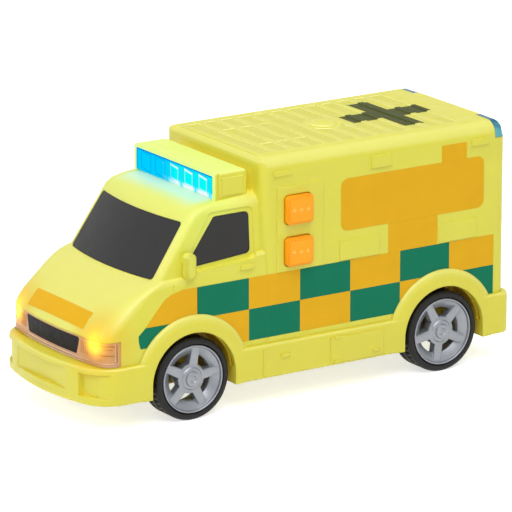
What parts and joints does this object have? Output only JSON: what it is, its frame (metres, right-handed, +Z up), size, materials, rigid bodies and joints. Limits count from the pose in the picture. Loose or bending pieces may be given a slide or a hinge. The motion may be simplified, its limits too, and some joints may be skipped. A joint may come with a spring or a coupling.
{
  "type": "toy ambulance",
  "caption": "Push-along toy ambulance with a yellow moulded body, light bar over the cab, free-rolling wheels and push buttons for lights and sounds.",
  "frame": {"origin": "on the ground under the middle of the outline", "axes": "+X towards the back of the vehicle, +Y towards its right side, +Z up; the front looks along -X and the buttons are on the -Y side"},
  "size_m": [0.1842, 0.071, 0.0919],
  "materials": {
    "yellow_abs": "satin injection-moulded ABS, lemon yellow",
    "blue_lens": "polished translucent blue polystyrene",
    "clear_lens": "polished clear polystyrene",
    "black_panel": "satin black panel",
    "orange_button": "satin moulded orange plastic",
    "silver_hub": "moulded silver-grey plastic",
    "tyre_pvc": "soft black vinyl",
    "amber_led": "tinted epoxy, lit",
    "blue_led": "clear epoxy, lit",
    "green_board": "solder-masked board",
    "black_resin": "moulded or cast black resin",
    "plated_steel": "zinc- or nickel-plated steel"
  },
  "bodies": {
    "body": {"body_shell": "yellow_abs", "chassis": "yellow_abs", "light_bar_housing": "yellow_abs", "light_bar_lens": "blue_lens", "light_bar_board": "green_board", "light_bar_leds": "blue_led", "rear_corner_lens_left": "blue_lens", "rear_corner_lens_right": "blue_lens", "windscreen": "black_panel", "door_window_left": "black_panel", "door_window_right": "black_panel", "rear_door_windows": "black_panel", "headlamp_lens": "clear_lens", "headlamp_leds": "amber_led", "grille_panel": "black_panel", "key_switches": "black_resin", "circuit_board": "green_board", "board_screws": "plated_steel", "sound_chip": "black_resin", "speaker_frame": "plated_steel", "speaker_cone": "black_resin", "button_cells": "plated_steel", "cell_spring_contact": "plated_steel", "cell_end_contact": "plated_steel", "battery_cover": "yellow_abs", "battery_cover_screw": "plated_steel", "body_screws": "plated_steel"},
    "front_wheels": {"front_axle": "plated_steel", "hub_front_left": "silver_hub", "hub_front_right": "silver_hub", "tyre_front_left": "tyre_pvc", "tyre_front_right": "tyre_pvc"},
    "rear_wheels": {"rear_axle": "plated_steel", "hub_rear_left": "silver_hub", "hub_rear_right": "silver_hub", "tyre_rear_left": "tyre_pvc", "tyre_rear_right": "tyre_pvc"},
    "upper_key": {"upper_button": "orange_button", "upper_plunger": "black_resin"},
    "lower_key": {"lower_button": "orange_button", "lower_plunger": "black_resin"}
  },
  "joints": [
    {"name": "front_wheels_spin", "type": "hinge", "parent": "body", "child": "front_wheels", "pos_m": [-0.0481, 0, 0.0152], "axis": [0, 1, 0], "continuous": true},
    {"name": "rear_wheels_spin", "type": "hinge", "parent": "body", "child": "rear_wheels", "pos_m": [0.0599, 0, 0.0152], "axis": [0, 1, 0], "continuous": true},
    {"name": "upper_button_press", "type": "slide", "parent": "body", "child": "upper_key", "axis": [0, 1, 0], "range_m": [0, 0.0015], "stiffness_N_per_m": 700, "springref_m": -0.0006},
    {"name": "lower_button_press", "type": "slide", "parent": "body", "child": "lower_key", "axis": [0, 1, 0], "range_m": [0, 0.0015], "stiffness_N_per_m": 700, "springref_m": -0.0006}
  ]
}
